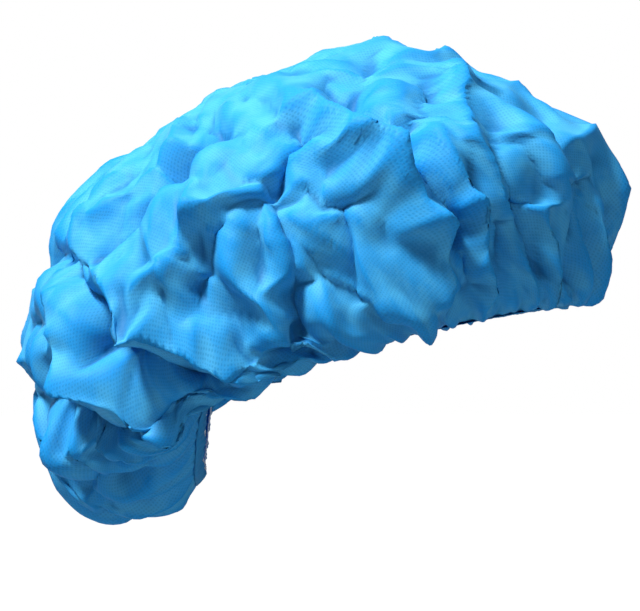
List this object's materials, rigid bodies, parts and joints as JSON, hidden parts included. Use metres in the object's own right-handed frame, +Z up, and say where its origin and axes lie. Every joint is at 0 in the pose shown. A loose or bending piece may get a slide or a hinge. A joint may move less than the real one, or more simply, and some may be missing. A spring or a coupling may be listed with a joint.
{
  "type": "disposable bouffant cap",
  "caption": "Full, soft round hair cover of thin nonwoven cloth, gathered on an elastic band, with a pouch behind the head.",
  "frame": {"origin": "middle of the wearer's head, level with the top of the ears, where the head fills the cap", "axes": "+X the wearer's front, +Y the wearer's left, +Z up"},
  "size_m": [0.2408, 0.2251, 0.1953],
  "materials": {
    "nonwoven_cloth": "crisp thin spunbond cloth with a fine pattern of bond points, slightly see-through",
    "nonwoven_hem": "the same cloth doubled and tightly gathered",
    "elastic": "matt pale knitted elastic"
  },
  "bodies": {
    "root": {"crown": "nonwoven_cloth", "rim_hem": "nonwoven_hem", "elastic_band": "elastic"}
  },
  "joints": []
}
